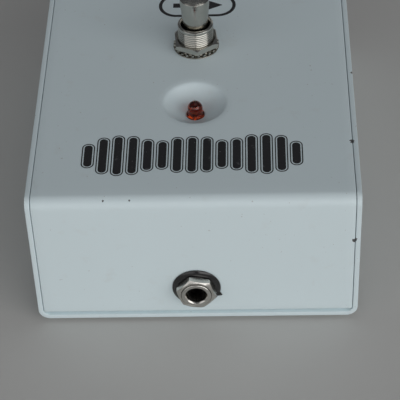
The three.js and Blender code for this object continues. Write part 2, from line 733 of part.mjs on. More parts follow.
// The moulding: a block with a blind bore for the plug, one pocket above the bore for the tip's leaf and one
// below it for the sleeve's.
function makeSocketBody() {
  const middle = boxStart + socketBoxLength / 2;
  const pocketLength = boxEnd - pocketStart;
  const pocketFloor = socketBore - leafDip - slack;
  const pocket = block(socketPocketWidth, pocketLength, socketBox / 2,
    [0, pocketStart + pocketLength / 2, pocketFloor + socketBox / 4]);
  return plate(rectangle(socketBox, socketBox, 1.2), socketBoxLength, alongY, 4)
    .translate([0, middle - socketBoxLength / 2, 0])
    .subtract(rod(socketBore + slack / 2, 0, boxEnd - 1.5, roundSides, alongY))
    .subtract(rod(socketBushRadius + slack, 0, boxStart + socketBushBelow, roundSides, alongY))
    .subtract(pocket.translate([0, 1, 0]));
}

// A leaf: a strip bent in the Y-Z plane, with its tag standing out behind the moulding.
function makeTipLeaf() {
  const dip = socketBore - leafDip;
  const section = foldedSection([
    [boxEnd + tagLength, leafRise],
    [pocketStart + 10, leafRise, 1],
    [pocketStart + 7, dip, 1],
    [pocketStart + 4, leafRise, 1],
    [pocketStart + 1.5, leafRise],
  ], leafThickness);
  return plate(section, leafWidth, acrossX, 4).translate([-leafWidth / 2, 0, 0]);
}

// The sleeve's tag: a strip that lies along the outside of the moulding and runs on behind it.
function makeSleeveTag() {
  const low = socketBox / 2 + seat;
  const section = foldedSection([
    [boxStart + 2, -low - leafThickness], [boxEnd + tagLength, -low - leafThickness],
  ], -leafThickness);
  return plate(section, leafWidth, acrossX, 1).translate([-leafWidth / 2, 0, 0]);
}

const bushFront = -nutFace - socketLip;
const bushBack = boxStart + socketBushBelow - slack;
const socketBush = lathed([
  [socketBore, bushFront], [socketBushRadius - socketBushChamfer, bushFront],
  [socketBushRadius, bushFront + socketBushChamfer], [socketBushRadius, bushBack],
  [socketBore, bushBack], [socketBore, bushFront],
], roundSides, alongY);
addPiece('socket_washer', makeSocketWasher(), blackPlastic, [0, panelY - seat, socketZ]);
const socketNutAcross = 2 * (socketBushRadius + socketNutWall);
const socketNut = hexNut(socketNutAcross, socketBushRadius + axleSlack, socketNutHeight, alongY)
  .rotate([0, THREE.MathUtils.radToDeg(socketNutTurn), 0]);
addPiece('socket_nut', socketNut, nickel, [0, panelY - nutFace, socketZ]);
addPiece('socket_bush', socketBush, nickel, socketPlace);
addPiece('socket_body', makeSocketBody(), blackPlastic, socketPlace);
addPiece('socket_tip_leaf', makeTipLeaf(), brass, socketPlace);
addPiece('socket_sleeve_tag', makeSleeveTag(), brass, socketPlace);

// Wires

const tipEnd = [0, panelY + boxEnd + tagLength + slack + wireRadius, socketZ + leafRise];
const sleeveEnd = [0, panelY + boxEnd + tagLength + slack + wireRadius, socketZ - socketBox / 2 - seat];
const boardUnder = topZ + boardFoot - slack - wireRadius;
const lugFoot = topZ + blockFoot - lugBelow - slack - wireRadius;
const routes = {
  wire_tip: [tipEnd, [-1, tipEnd[1] + 5, tipEnd[2] + 2], [-6, lampY - 2, (tipEnd[2] + boardUnder) / 2],
    [-7.5, lampY + 2, boardUnder - 4], [-7.5, lampY + 2, boardUnder]],
  wire_lamp: [[-5, lampY + 4.5, boardUnder], [-5, lampY + 6, boardUnder - 5], [-5, switchY - 10, lugFoot - 4],
    [-lugPitchX / 2, switchY - lugPitchY - 1, lugFoot - 4], [-lugPitchX / 2, switchY - lugPitchY, lugFoot]],
  wire_sleeve: [sleeveEnd, [1.5, sleeveEnd[1] + 5, sleeveEnd[2]], [5, lampY + 10, floorZ + 6],
    [lugPitchX / 2 + 1, switchY - lugPitchY, lugFoot - 8], [lugPitchX / 2, switchY - lugPitchY, lugFoot]],
};
const wireColours = { wire_tip: 0xb52a22, wire_lamp: 0xd9c33a, wire_sleeve: 0x1b1b1d };
for (const [name, route] of Object.entries(routes)) {
  addPiece(name, tube(route, wireRadius, 26), { color: wireColours[name], roughness: 0.5, metalness: 0 });
}

export default model;
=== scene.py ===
# A folded-steel foot pedal with one button, one lamp and one socket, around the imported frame.
# Lengths in this file are millimetres until a mesh is made; +Z is up and the socket's panel faces -Y.
import json
from math import pi, radians

import bmesh
import bpy
import numpy as np
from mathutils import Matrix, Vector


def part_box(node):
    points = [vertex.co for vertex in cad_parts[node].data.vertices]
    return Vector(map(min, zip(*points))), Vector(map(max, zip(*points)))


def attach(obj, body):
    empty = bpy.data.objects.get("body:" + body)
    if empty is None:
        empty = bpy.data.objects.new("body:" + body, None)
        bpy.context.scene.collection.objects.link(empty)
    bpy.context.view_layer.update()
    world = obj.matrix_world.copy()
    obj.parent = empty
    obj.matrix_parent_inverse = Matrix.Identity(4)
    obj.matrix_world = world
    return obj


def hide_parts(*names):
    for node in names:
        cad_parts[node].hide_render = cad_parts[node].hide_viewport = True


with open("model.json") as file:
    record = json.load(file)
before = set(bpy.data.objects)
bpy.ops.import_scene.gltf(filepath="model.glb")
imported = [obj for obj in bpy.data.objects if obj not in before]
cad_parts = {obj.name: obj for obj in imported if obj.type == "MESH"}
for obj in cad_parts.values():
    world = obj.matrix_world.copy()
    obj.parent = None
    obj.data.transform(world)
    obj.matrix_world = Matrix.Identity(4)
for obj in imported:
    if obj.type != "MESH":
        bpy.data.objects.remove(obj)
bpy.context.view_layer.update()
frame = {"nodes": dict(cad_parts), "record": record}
scene = bpy.context.scene
metre = 0.001  # one millimetre, in metres


def boxOf(node):
    # a CAD node's lowest and highest corner, in millimetres
    low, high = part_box(node)
    return np.array(low) / metre, np.array(high) / metre


coverLow, coverHigh = boxOf("top_cover")
baseLow, baseHigh = boxOf("base_tray")
bushLow, bushHigh = boxOf("switch_bush")
socketLow, socketHigh = boxOf("socket_bush")
lampLow, lampHigh = boxOf("lamp")
panelY, farY = coverLow[1], coverHigh[1]
topZ = baseHigh[2]
lampY = (lampLow[1] + lampHigh[1]) / 2
switchY = (bushLow[1] + bushHigh[1]) / 2
socketZ = (socketLow[2] + socketHigh[2]) / 2
print("frame loaded: top", round(topZ, 2), "lamp", round(lampY, 2), "switch", round(switchY, 2))

# Shapes worked out with numpy


def rounded(corners, steps=4, closed=False):
    # straight lines from corner to corner; a corner (x, y, radius) becomes a tangent arc in equal angles
    c = np.array([(*p, 0)[:3] for p in corners], float)
    parts = []
    for i, (x, y, radius) in enumerate(c):
        here = np.array([x, y])
        if radius <= 0 or (not closed and i in (0, len(c) - 1)):
            parts.append(here[None])
            continue
        back, ahead = c[i - 1, :2] - here, c[(i + 1) % len(c), :2] - here
        backLength, aheadLength = np.linalg.norm(back), np.linalg.norm(ahead)
        back, ahead = back / backLength, ahead / aheadLength
        half = np.arccos(np.clip(back @ ahead, -1, 1)) / 2
        reach = min(radius / np.tan(half), 0.49 * backLength, 0.49 * aheadLength)
        radius = reach * np.tan(half)
        centre = here + (back + ahead) / np.linalg.norm(back + ahead) * radius / np.sin(half)
        first, last = here + back * reach - centre, here + ahead * reach - centre
        start = np.arctan2(first[1], first[0])
        sweep = (np.arctan2(last[1], last[0]) - start + pi) % (2 * pi) - pi
        angle = start + sweep * np.linspace(0, 1, steps + 1)
        parts.append(centre + radius * np.stack([np.cos(angle), np.sin(angle)], 1))
    return np.vstack(parts)


def gridFaces(rows, columns, closed=False):
    # quads between neighbouring rows, with the columns wrapped round
    index = np.arange(rows * columns).reshape(rows, columns)
    if closed:
        index = np.vstack([index, index[:1]])
    index = np.hstack([index, index[:, :1]])
    quads = np.stack([index[:-1, :-1], index[:-1, 1:], index[1:, 1:], index[1:, :-1]], -1)
    return quads.reshape(-1, 4)


def spun(radius, height, angle, closed):
    # x = radius cos(angle), y = radius sin(angle), z = height; rows run along a profile
    radius, height = np.asarray(radius, float), np.asarray(height, float)
    points = np.stack([radius * np.cos(angle), radius * np.sin(angle), height], -1)
    return points.reshape(-1, 3), gridFaces(*radius.shape, closed)


def fullTurn(columns):
    return np.arange(columns) * 2 * pi / columns


def lathe(corners, columns=96, steps=4, closed=False):
    # a rounded profile of (radius, height, rounding) turned once about +Z
    line = rounded(corners, steps, closed)
    flat = np.ones(columns)
    return spun(line[:, :1] * flat, line[:, 1:2] * flat, fullTurn(columns), closed)


def ringOf(rows, angle):
    # rows of (radius, height) round a closed profile, each a number or one value for every column
    radius = np.array([np.broadcast_to(r, angle.shape) for r, _ in rows])
    height = np.array([np.broadcast_to(z, angle.shape) for _, z in rows])
    return spun(radius, height, angle, True)


def facingPanel(points):
    # +Z of a turned shape points out of the socket's panel; its X stays and its Y goes up
    return np.stack([points[:, 0], panelY - points[:, 2], socketZ + points[:, 1]], 1)


def threadDepth(height, angle, pitch, depth):
    # a helical groove: depth times a raised cosine of (height / pitch - angle / turn), with flat crests
    wave = 0.5 - 0.5 * np.cos(2 * pi * (height / pitch - angle / (2 * pi)))
    return depth * np.clip(1.35 * wave - 0.2, 0, 1)


def spread(knots, spacing):
    # grid lines through all knots, each gap cut into equal steps no longer than the spacing
    knots = np.unique(np.round(np.asarray(knots, float), 6))
    steps = [np.linspace(a, b, int(np.ceil((b - a) / spacing - 1e-6)) + 1)[:-1]
             for a, b in zip(knots, knots[1:])]
    return np.concatenate([*steps, knots[-1:]])


def makePiece(name, points, faces, body, slotName, finish, stands=(), sharp=30, place=(0, 0, 0)):
    # the points and faces become a mesh whose poles are closed; it rides on a body and takes its finish
    mesh = bpy.data.meshes.new(name)
    corners = ((np.asarray(points) + place) * metre).tolist()
    mesh.from_pydata(corners, [], [list(map(int, f)) for f in faces])
    shell = bmesh.new()
    shell.from_mesh(mesh)
    bmesh.ops.remove_doubles(shell, verts=shell.verts, dist=2e-7)
    shell.to_mesh(mesh)
    shell.free()
    mesh.shade_smooth()
    mesh.set_sharp_from_angle(angle=radians(sharp))
    mesh.materials.append(finish)
    piece = bpy.data.objects.new(name, mesh)
    scene.collection.objects.link(piece)
    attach(piece, body)
    if stands:
        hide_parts(*stands)
    return piece


# Nodes that the finishes are made of


def place(tree, kind, settings=None, **inputs):
    # one shader node: settings are its own values, inputs are numbers or another node's output
    node = tree.nodes.new("ShaderNode" + kind)
    for key, value in (settings or {}).items():
        setattr(node, key, value)
    for key, value in inputs.items():
        socket = node.inputs[int(key[2:])] if key.startswith("at") else node.inputs[key.replace("_", " ")]
        if isinstance(value, bpy.types.NodeSocket):
            tree.links.new(value, socket)
        else:
            socket.default_value = value
    return node


def newFinish(name, **plain):
    # a material with one shader; numbers that are the same all over are set on the shader's own sockets
    material = bpy.data.materials.new(name)
    material.use_nodes = True
    shader = material.node_tree.nodes["Principled BSDF"]
    for key, value in plain.items():
        shader.inputs[key.replace("_", " ")].default_value = value
    return material, material.node_tree, shader


def coords(tree, stretch=(1, 1, 1), shift=(0, 0, 0)):
    here = place(tree, "TexCoord").outputs["Object"]
    return place(tree, "Mapping", Vector=here, Scale=stretch, Location=shift).outputs[0]


def noise(tree, scale, detail=3.0, rough=0.5, stretch=(1, 1, 1), shift=(0, 0, 0)):
    return place(tree, "TexNoise", Vector=coords(tree, stretch, shift), Scale=scale, Detail=detail,
                 Roughness=rough).outputs["Fac"]


def ranged(tree, value, low, high, start=0.0, end=1.0):
    limits = {"From_Min": low, "From_Max": high, "To_Min": start, "To_Max": end}
    return place(tree, "MapRange", Value=value, **limits).outputs[0]


def sums(tree, operation, first, second=0.0):
    return place(tree, "Math", {"operation": operation}, at0=first, at1=second).outputs[0]


def blended(tree, factor, first, second):
    return place(tree, "Mix", {"data_type": "RGBA"}, at0=factor, at6=first, at7=second).outputs[2]


def bumped(tree, height, distance, normal=None):
    inputs = {"Height": height, "Distance": distance, "Strength": 1.0}
    if normal:
        inputs["Normal"] = normal
    return place(tree, "Bump", **inputs).outputs[0]


def joined(tree, shader, **outputs):
    for key, value in outputs.items():
        tree.links.new(value, shader.inputs[key.replace("_", " ")])


def nearPoint(tree, point, radius, ragged=0.5):
    # 1 within a ragged spot round a point: radius less distance, with noise on the edge
    here = place(tree, "TexCoord").outputs["Object"]
    where = tuple(float(v) * metre for v in point)
    away = place(tree, "VectorMath", {"operation": "DISTANCE"}, at0=here, at1=where).outputs["Value"]
    edge = ranged(tree, noise(tree, 1600, 3), 0.3, 0.7, 1 - ragged, 1 + ragged)
    reach = sums(tree, "MULTIPLY", edge, radius * metre)
    return ranged(tree, sums(tree, "SUBTRACT", reach, away), 0, 0.12 * radius * metre)


# Finishes

paint = {"light": (0.745, 0.855, 0.885, 1), "clouded": (0.72, 0.82, 0.845, 1), "soiled": (0.65, 0.68, 0.67, 1),
         "fleck": (0.33, 0.31, 0.29, 1), "bare": (0.10, 0.10, 0.10, 1), "peel": 620, "peelDepth": 1.6e-5,
         "grain": 5200, "grainDepth": 1.5e-6}
chips = [((50.2, panelY + 26.7, topZ - 0.1), 0.75), ((50.1, panelY + 3.0, topZ - 1.0), 0.7),
         ((50.2, panelY + 0.1, topZ - 17.7), 0.8), ((-27.7, panelY + 1.3, topZ - 0.8), 0.36),
         ((-19.6, panelY + 1.4, topZ - 0.7), 0.3), ((51.9, panelY + 61.0, topZ - 0.3), 0.6),
         ((-51.9, farY - 22.0, topZ - 0.2), 0.7), ((-51.6, panelY + 88.0, 2.0), 0.8),
         ((30.5, farY - 0.7, topZ - 1.2), 0.45), ((51.5, farY - 30.0, 2.2), 0.9)]


def powderCoat(name):
    # colour: two whites mixed by slow noise, soil where fine noise is high, flecks, then bare metal in the chips
    # roughness: slow noise, with more where scuffs and scratches are
    # bump: soft bumps of the sprayed coat with a fine grain on them; chips and hairline scratches are sunk in
    material, tree, shader = newFinish(name, IOR=1.5)
    slow = ranged(tree, noise(tree, 16, 4), 0.35, 0.7)
    soil = ranged(tree, noise(tree, 130, 8, 0.62), 0.60, 0.78, 0.0, 0.30)
    scuff = ranged(tree, noise(tree, 46, 5, 0.6, (1, 0.10, 1), (0.3, 0, 0)), 0.655, 0.70, 0.0, 0.5)
    fleck = ranged(tree, noise(tree, 900, 2, 0.5, shift=(0.5, 0.1, 0.2)), 0.735, 0.76, 0.0, 0.55)
    hair = ranged(tree, noise(tree, 70, 2, 0.5, (1, 0.03, 0.4), (0.11, 0.7, 0)), 0.70, 0.712)
    across = ranged(tree, noise(tree, 60, 2, 0.5, (0.03, 1, 0.4), (0.9, 0.2, 0)), 0.715, 0.725)
    scratch = sums(tree, "MAXIMUM", hair, across)
    spots = [nearPoint(tree, point, radius) for point, radius in chips]
    chip = spots[0]
    for spot in spots[1:]:
        chip = sums(tree, "MAXIMUM", chip, spot)
    colour = blended(tree, ranged(tree, slow, 0, 1, 0, 0.35), paint["light"], paint["clouded"])
    soil = sums(tree, "MAXIMUM", soil, ranged(tree, scratch, 0, 1, 0, 0.35))
    colour = blended(tree, soil, colour, paint["soiled"])
    colour = blended(tree, fleck, colour, paint["fleck"])
    colour = blended(tree, chip, colour, paint["bare"])
    rough = ranged(tree, noise(tree, 38, 5), 0.3, 0.75, 0.36, 0.50)
    rough = sums(tree, "ADD", rough, ranged(tree, sums(tree, "MAXIMUM", scuff, scratch), 0, 1, 0, 0.14))
    relief = sums(tree, "SUBTRACT", noise(tree, paint["peel"], 2, 0.45), ranged(tree, chip, 0, 1, 0, 2.2))
    relief = sums(tree, "SUBTRACT", relief, ranged(tree, scratch, 0, 1, 0, 0.5))
    normal = bumped(tree, relief, paint["peelDepth"])
    normal = bumped(tree, noise(tree, paint["grain"], 2), paint["grainDepth"], normal)
    joined(tree, shader, Base_Color=colour, Roughness=rough, Normal=normal)
    return material


def plated(name, colour, dull, smooth, rough, axis=None, lines=5200, stain=0.35):
    # colour: plate mixed with a duller tone by slow noise and in fine pits
    # roughness: smudges between two values, with the lines added
    # bump: turning lines are noise of the distance from an axis, or drawn lines where there is no axis
    material, tree, shader = newFinish(name, Metallic=1.0)
    smudge = ranged(tree, noise(tree, 210, 5, 0.6), 0.36, 0.68)
    pit = ranged(tree, noise(tree, 2600, 2), 0.70, 0.76)
    worn = ranged(tree, noise(tree, 90, 4, 0.6, shift=(0.2, 0.4, 0.1)), 0.45, 0.75, 0.0, stain)
    tone = blended(tree, sums(tree, "MAXIMUM", worn, ranged(tree, pit, 0, 1, 0, 0.6)), colour, dull)
    if axis:
        centre, along = axis
        shift = [-v * metre for v in centre]
        keep = [0.0 if along == i else 1.0 for i in range(3)]
        here = place(tree, "VectorMath", {"operation": "ADD"}, at0=coords(tree), at1=tuple(shift))
        here = here.outputs[0]
        flat = place(tree, "VectorMath", {"operation": "MULTIPLY"}, at0=here, at1=tuple(keep)).outputs[0]
        away = place(tree, "VectorMath", {"operation": "LENGTH"}, at0=flat).outputs["Value"]
        depth = place(tree, "SeparateXYZ", at0=here).outputs[along]
        turn = sums(tree, "ADD", away, depth)
        line = place(tree, "TexNoise", {"noise_dimensions": "1D"}, W=turn, Scale=lines, Detail=3.0)
        line = line.outputs["Fac"]
    else:
        line = noise(tree, lines, 2, 0.5, (0.03, 1, 0.5))
    level = ranged(tree, smudge, 0, 1, smooth, rough)
    level = sums(tree, "ADD", level, ranged(tree, line, 0.3, 0.7, -0.03, 0.04))
    normal = bumped(tree, line, 2.2e-6)
    normal = bumped(tree, sums(tree, "SUBTRACT", noise(tree, 800, 3), pit), 2.5e-6, normal)
    joined(tree, shader, Base_Color=tone, Roughness=level, Normal=normal)
    return material


def moulded(name, colour, dusty, smooth, rough, grain=2400, depth=2e-6, dust=0.5, **plain):
    # colour: pigment, with dust where either of two noises is high; roughness: rubbed and unrubbed patches
    # bump: mould grain with scratches sunk in
    material, tree, shader = newFinish(name, **plain)
    cloud = ranged(tree, noise(tree, 120, 5, 0.6), 0.42, 0.72)
    speck = ranged(tree, noise(tree, 1900, 2), 0.66, 0.72)
    dirt = sums(tree, "MAXIMUM", ranged(tree, cloud, 0, 1, 0, 0.35), speck)
    tone = blended(tree, ranged(tree, dirt, 0, 1, 0, dust), colour, dusty)
    level = ranged(tree, cloud, 0, 1, smooth, rough)
    scratch = ranged(tree, noise(tree, 380, 2, 0.5, (1, 0.08, 1)), 0.68, 0.70)
    level = sums(tree, "ADD", level, ranged(tree, scratch, 0, 1, 0, 0.12))
    relief = sums(tree, "SUBTRACT", noise(tree, grain, 3), ranged(tree, scratch, 0, 1, 0, 0.5))
    joined(tree, shader, Base_Color=tone, Roughness=level, Normal=bumped(tree, relief, depth))
    return material


def laminate(name, face, dark, weave, depth):
    # colour: two crossed sets of threads (waves along X and Y) with a cloudy tone; bump: the threads
    material, tree, shader = newFinish(name)
    threads = [place(tree, "TexWave", {"bands_direction": way}, Vector=coords(tree), Scale=weave,
                     Distortion=1.2, Detail=1.0).outputs["Fac"] for way in ("X", "Y")]
    cloth = sums(tree, "MULTIPLY", *threads)
    cloud = ranged(tree, noise(tree, 140, 5, 0.6), 0.35, 0.7)
    tone = blended(tree, sums(tree, "MULTIPLY", ranged(tree, cloth, 0, 1, 0.2, 0.8), cloud), face, dark)
    level = ranged(tree, noise(tree, 500, 3), 0.3, 0.7, 0.34, 0.58)
    joined(tree, shader, Base_Color=tone, Roughness=level, Normal=bumped(tree, cloth, depth))
    return material


def tintedResin(name):
    # clear tinted resin: the tint deepens in slow clouds; the skin has faint mould marks and a little haze
    material, tree, shader = newFinish(name, Transmission_Weight=0.97, IOR=1.54)
    cloud = ranged(tree, noise(tree, 420, 3), 0.3, 0.7)
    tone = blended(tree, cloud, (0.74, 0.08, 0.008, 1), (0.52, 0.045, 0.004, 1))
    level = ranged(tree, noise(tree, 900, 4), 0.3, 0.75, 0.02, 0.08)
    joined(tree, shader, Base_Color=tone, Roughness=level, Normal=bumped(tree, noise(tree, 1500, 3), 4e-6))
    return material


def printInk(name):
    # black screen ink: thin where noise is high, so the coat shows through in pinholes
    material, tree, shader = newFinish(name)
    thin = ranged(tree, noise(tree, 2100, 3), 0.70, 0.74, 0.0, 0.8)
    worn = ranged(tree, noise(tree, 240, 6, 0.65, shift=(0.4, 0.2, 0)), 0.62, 0.74, 0.0, 0.2)
    gone = sums(tree, "MAXIMUM", thin, worn)
    tone = blended(tree, gone, (0.010, 0.010, 0.012, 1), (0.45, 0.46, 0.47, 1))
    level = ranged(tree, noise(tree, 160, 4), 0.3, 0.7, 0.42, 0.6)
    normal = bumped(tree, noise(tree, paint["peel"], 2, 0.45), 1.2e-5)
    joined(tree, shader, Base_Color=tone, Roughness=level, Normal=normal)
    return material


def bandedCoat(name, centreY, half):
    # lacquered beige with four colour bands: each band is a window on the distance along Y from the middle
    material, tree, shader = newFinish(name, Coat_Weight=0.3)
    along = place(tree, "SeparateXYZ", at0=coords(tree)).outputs[1]
    cloud = ranged(tree, noise(tree, 500, 4), 0.3, 0.7)
    tone = blended(tree, cloud, (0.62, 0.47, 0.27, 1), (0.52, 0.38, 0.20, 1))
    bands = {-0.52: (0.35, 0.06, 0.02, 1), -0.2: (0.05, 0.05, 0.05, 1), 0.12: (0.6, 0.2, 0.02, 1),
             0.62: (0.5, 0.36, 0.10, 1)}
    for offset, band in bands.items():
        middle = (centreY + offset * half) * metre
        away = sums(tree, "ABSOLUTE", sums(tree, "SUBTRACT", along, middle))
        tone = blended(tree, ranged(tree, away, 0.00042, 0.00036), tone, band)
    level = ranged(tree, noise(tree, 700, 3), 0.3, 0.7, 0.25, 0.42)
    joined(tree, shader, Base_Color=tone, Roughness=level, Normal=bumped(tree, noise(tree, 1300, 3), 6e-6))
    return material


switchAxis = ((0, switchY, topZ), 2)
socketAxis = ((0, panelY, socketZ), 1)
whitePaint = powderCoat("whitePaint")
switchNickel = plated("switchNickel", (0.54, 0.525, 0.48, 1), (0.33, 0.31, 0.27, 1), 0.12, 0.28, switchAxis)
socketNickel = plated("socketNickel", (0.66, 0.64, 0.60, 1), (0.42, 0.40, 0.36, 1), 0.14, 0.30, socketAxis)
zincPlate = plated("zincPlate", (0.62, 0.62, 0.61, 1), (0.46, 0.45, 0.42, 1), 0.26, 0.44)
springSteel = plated("springSteel", (0.42, 0.41, 0.40, 1), (0.22, 0.19, 0.16, 1), 0.22, 0.40, switchAxis)
brassStrip = plated("brassStrip", (0.72, 0.53, 0.24, 1), (0.42, 0.27, 0.11, 1), 0.22, 0.42, None, 3800, 0.6)
blackGloss = moulded("blackGloss", (0.012, 0.012, 0.013, 1), (0.12, 0.12, 0.12, 1), 0.10, 0.24, 1500, 3e-6,
                     0.25, Coat_Weight=0.5, Coat_Roughness=0.08, IOR=1.45)
blackNylon = moulded("blackNylon", (0.016, 0.016, 0.017, 1), (0.11, 0.11, 0.10, 1), 0.34, 0.55, 2400, 5e-6)
whiteAcetal = moulded("whiteAcetal", (0.80, 0.78, 0.72, 1), (0.60, 0.56, 0.48, 1), 0.30, 0.46, 1800, 4e-6)
padRubber = moulded("padRubber", (0.022, 0.022, 0.023, 1), (0.16, 0.15, 0.14, 1), 0.62, 0.85, 1400, 2.5e-5,
                    0.8)
brownBoard = laminate("brownBoard", (0.30, 0.14, 0.06, 1), (0.16, 0.07, 0.03, 1), 700, 6e-6)
greenBoard = laminate("greenBoard", (0.03, 0.20, 0.07, 1), (0.015, 0.11, 0.04, 1), 900, 5e-6)
resistorLow, resistorHigh = boxOf("lamp_resistor")
resistorCoat = bandedCoat("resistorCoat", (resistorLow[1] + resistorHigh[1]) / 2, 3.1)
amberResin = tintedResin("amberResin")
blackInk = printInk("blackInk")
wireRed = moulded("wireRed", (0.50, 0.03, 0.02, 1), (0.30, 0.10, 0.08, 1), 0.30, 0.50, 1500, 6e-6, 0.3)
wireYellow = moulded("wireYellow", (0.70, 0.52, 0.05, 1), (0.45, 0.36, 0.12, 1), 0.30, 0.50, 1500, 6e-6, 0.3)
wireBlack = moulded("wireBlack", (0.018, 0.018, 0.019, 1), (0.13, 0.12, 0.11, 1), 0.30, 0.50, 1500, 6e-6, 0.3)
print("finishes made:", len(bpy.data.materials))

# Sheet metal: one flat pattern, folded


def foldLine(corners, steps=24):
    # the outer face's line through its bends: places, headings, lengths, and the lengths where bends begin and end
    c = np.array([(*p, 0)[:3] for p in corners], float)
    run = np.diff(c[:, :2], axis=0)
    heading = np.unwrap(np.arctan2(run[:, 1], run[:, 0]))
    turns = [a + (b - a) * np.linspace(0, 1, steps + 1) for a, b in zip(heading, heading[1:])]
    points = rounded(corners, steps)
    headings = np.concatenate([heading[:1], *turns, heading[-1:]])
    length = np.concatenate([[0], np.cumsum(np.linalg.norm(np.diff(points, axis=0), axis=1))])
    bends = length[1:-1].reshape(-1, steps + 1)[:, [0, -1]].ravel()
    return points, headings, length, bends


def onFold(fold, length, depth, side):
    # the point at a length along the fold, pushed in from the outer face by the depth
    points, headings, lengths, _ = fold
    a, b = (np.interp(length, lengths, points[:, k]) for k in (0, 1))
    turn = np.interp(length, lengths, headings)
    return a + side * np.sin(turn) * depth, b - side * np.cos(turn) * depth


def sheetPattern(us, vs, windows):
    # a grid whose windows are filled with rings that run from a round hole out to the window's square edge
    index = np.arange(len(us) * len(vs)).reshape(len(us), len(vs))
    grid = np.stack(np.meshgrid(us, vs, indexing="ij"), -1).reshape(-1, 2)
    outer, inner, faces, rims, count = [grid], [grid], [], [], len(grid)
    keep = np.ones((len(us) - 1, len(vs) - 1), bool)

    def edgeLoop(a, b, c, d):
        return np.concatenate([index[a:b, c], index[b, c:d], index[b:a:-1, d], index[a, d:c:-1]])

    for (u, v), half, radii, innerRadii in windows:
        a, b = np.searchsorted(us, [u - half - 1e-4, u + half - 1e-4])
        c, d = np.searchsorted(vs, [v - half - 1e-4, v + half - 1e-4])
        keep[a:b, c:d] = False
        loop = edgeLoop(a, b, c, d)
        away = grid[loop] - (u, v)
        round_ = away / np.linalg.norm(away, axis=1, keepdims=True)
        for store, sizes in ((outer, radii), (inner, innerRadii)):
            store.append(((u, v) + np.asarray(sizes, float)[:, None, None] * round_).reshape(-1, 2))
        rings = count + np.arange(len(radii) * len(loop)).reshape(len(radii), -1)
        count += rings.size
        full = np.vstack([rings, loop])
        after = np.roll(full, -1, 1)
        faces.append(np.stack([full[:-1], full[1:], after[1:], after[:-1]], -1).reshape(-1, 4))
        rims.append((rings[0], -round_, True))
    cells = [index[:-1, :-1][keep], index[1:, :-1][keep], index[1:, 1:][keep], index[:-1, 1:][keep]]
    faces.append(np.stack(cells, -1))
    loop = edgeLoop(0, len(us) - 1, 0, len(vs) - 1)
    where = grid[loop]
    away = np.stack([(where[:, k] == line[-1]) * 1.0 - (where[:, k] == line[0])
                     for k, line in ((0, us), (1, vs))], 1)
    rims.append((loop, away, False))
    return np.vstack(outer), np.vstack(inner), np.vstack(faces), rims


def foldedSheet(us, vs, windows, surface, dip, thickness, edge):
    # both faces of the folded pattern, joined along every rim by a rounded edge (inset edge(1 - sin a), drop
    # edge(1 - cos a)); surface(pattern, depth) places a point, and dip(pattern) is the depth of pressed shapes
    outer, inner, faces, rims = sheetPattern(us, vs, windows)
    count = len(outer)
    points = [surface(outer, dip(outer)), surface(inner, dip(inner) + thickness)]
    allFaces = [faces, faces[:, ::-1] + count]
    total = 2 * count
    angle = np.linspace(0, pi / 2, 4)[1:]
    for loop, away, hole in rims:
        rows = [loop]
        steps = [(outer, s, c) for s, c in zip(edge * np.sin(angle), edge * (1 - np.cos(angle)))]
        steps += [(inner, s, thickness - c) for _, s, c in reversed(steps)]
        for pattern, shift, drop in steps:
            flat = pattern[loop] + away * shift
            points.append(surface(flat, dip(flat) + drop))
            rows.append(total + np.arange(len(loop)))
            total += len(loop)
        rows = np.array([*rows, loop + count])
        after = np.roll(rows, -1, 1)
        order = [rows[:-1], after[:-1], after[1:], rows[1:]]
        if not hole:
            order = [order[0], order[3], order[2], order[1]]
        allFaces.append(np.stack(order, -1).reshape(-1, 4))
    points, allFaces = np.vstack(points), np.vstack(allFaces)
    used, compact = np.unique(allFaces, return_inverse=True)
    return points[used], compact.reshape(-1, 4)


case = {"sheet": 1.6, "topBend": 3.6, "footBend": 2.2, "baseBend": 3.75, "flange": 14.0, "edge": 0.22,
        "seam": 0.2, "screwX": 16.0, "screwY": 8.5, "cornerReach": 8, "fine": 1.1, "coarse": 3.2, "leastGap": 0.02}
dish = {"radius": 10.1, "depth": 5.4, "soft": 0.9, "fadeEnd": 12.9, "fade": 1.5, "hole": 3.05, "window": 13.2,
        "bowl": (8.6, 9), "rim": (9.2, 12.4, 17)}
holes = {"switch": 6.25, "switchWindow": 10.0, "socket": 5.05, "socketWindow": 8.0, "screw": 1.8,
         "screwWindow": 3.6, "sink": 3.1, "sinkWindow": 4.6}
half = (baseHigh[0] - baseLow[0]) / 2
screwPlaces = [(sx * (half - case["screwX"]), y) for sx in (-1, 1)
               for y in (panelY + case["screwY"], farY - case["screwY"])]


def dishDip(away):
    # depth of the pressed dish: a sphere below the top, met by a soft rim (smooth maximum with nothing)
    sphere = (dish["radius"] ** 2 + dish["depth"] ** 2) / (2 * dish["depth"])
    inside = np.sqrt(np.maximum(sphere ** 2 - away ** 2, 0)) - (sphere - dish["depth"])
    fade = np.clip((dish["fadeEnd"] - away) / dish["fade"], 0, 1)
    return (inside + np.sqrt(inside ** 2 + dish["soft"] ** 2)) / 2 * fade


def gridLine(*lines):
    # all lines' values in order, without those that stand closer than the least gap to the one before
    line = np.unique(np.round(np.concatenate(lines), 6))
    return line[np.concatenate([[True], np.diff(line) > case["leastGap"]])]


def acrossBends(bends):
    return [np.linspace(a, b, 11) for a, b in bends.reshape(-1, 2)]


